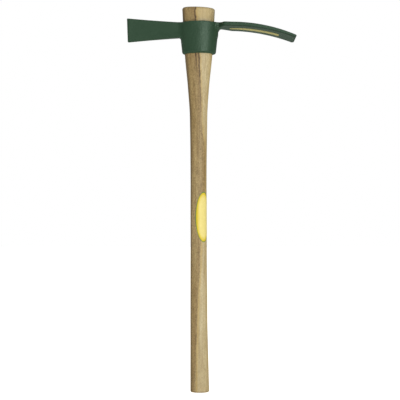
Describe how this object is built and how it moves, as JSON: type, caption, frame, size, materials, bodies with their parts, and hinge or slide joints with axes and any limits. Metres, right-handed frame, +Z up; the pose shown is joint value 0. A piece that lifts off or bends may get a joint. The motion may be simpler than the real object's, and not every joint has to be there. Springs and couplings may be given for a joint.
{
  "type": "mattock",
  "caption": "Grubbing mattock with an upright axe blade and a drooping adze blade on one forged head, slipped up a flared wooden handle.",
  "frame": {"origin": "on the handle's axis at its butt face", "axes": "+Z up the handle towards the head, +X towards the adze blade, +Y across the blades"},
  "size_m": [0.3962, 0.0938, 0.9013],
  "materials": {
    "head_paint": "semi-gloss dark green enamel on a forging",
    "handle_wood": "sanded hardwood with a thin clear coat",
    "label_vinyl": "plain yellow sticker with a thin green rim"
  },
  "bodies": {
    "handle": {"handle": "handle_wood", "handle_label": "label_vinyl"},
    "head": {"mattock_head": "head_paint", "adze_label": "label_vinyl"}
  },
  "joints": [
    {"name": "head_slide", "type": "slide", "parent": "handle", "child": "head", "axis": [0, 0, -1], "range_m": [0, 0.79]}
  ]
}
